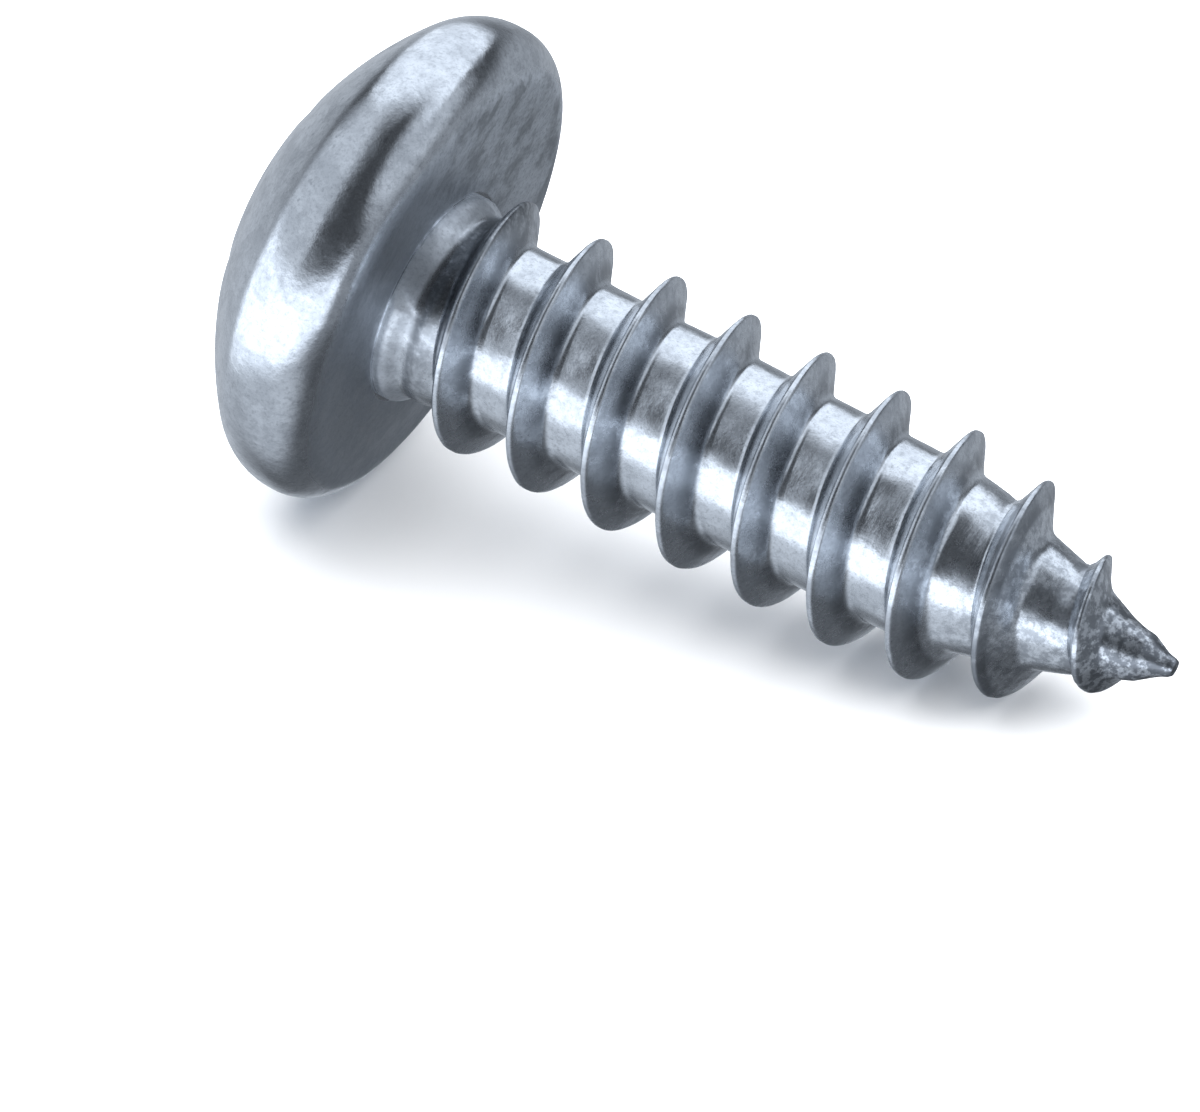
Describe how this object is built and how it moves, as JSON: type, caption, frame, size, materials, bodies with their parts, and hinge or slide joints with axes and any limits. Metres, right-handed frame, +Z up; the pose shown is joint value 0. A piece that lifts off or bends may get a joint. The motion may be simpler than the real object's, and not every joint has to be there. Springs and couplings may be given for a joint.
{
  "type": "sheet metal screw",
  "caption": "Pan head tapping screw with a cross recess, a coarse spaced thread up to the head and a sharp gimlet point, in bright zinc.",
  "frame": {"origin": "on the ground under the middle of the lying screw", "axes": "+Z up, +X along the screw from its head towards its point, whose axis dips about 12 degrees towards the point, +Y across"},
  "size_m": [0.0152, 0.0076, 0.0075],
  "materials": {
    "zinc_plated_steel": "bright bluish zinc over cold headed and rolled steel, with fine pits and rolling marks"
  },
  "bodies": {
    "root": {"screw": "zinc_plated_steel"}
  },
  "joints": []
}
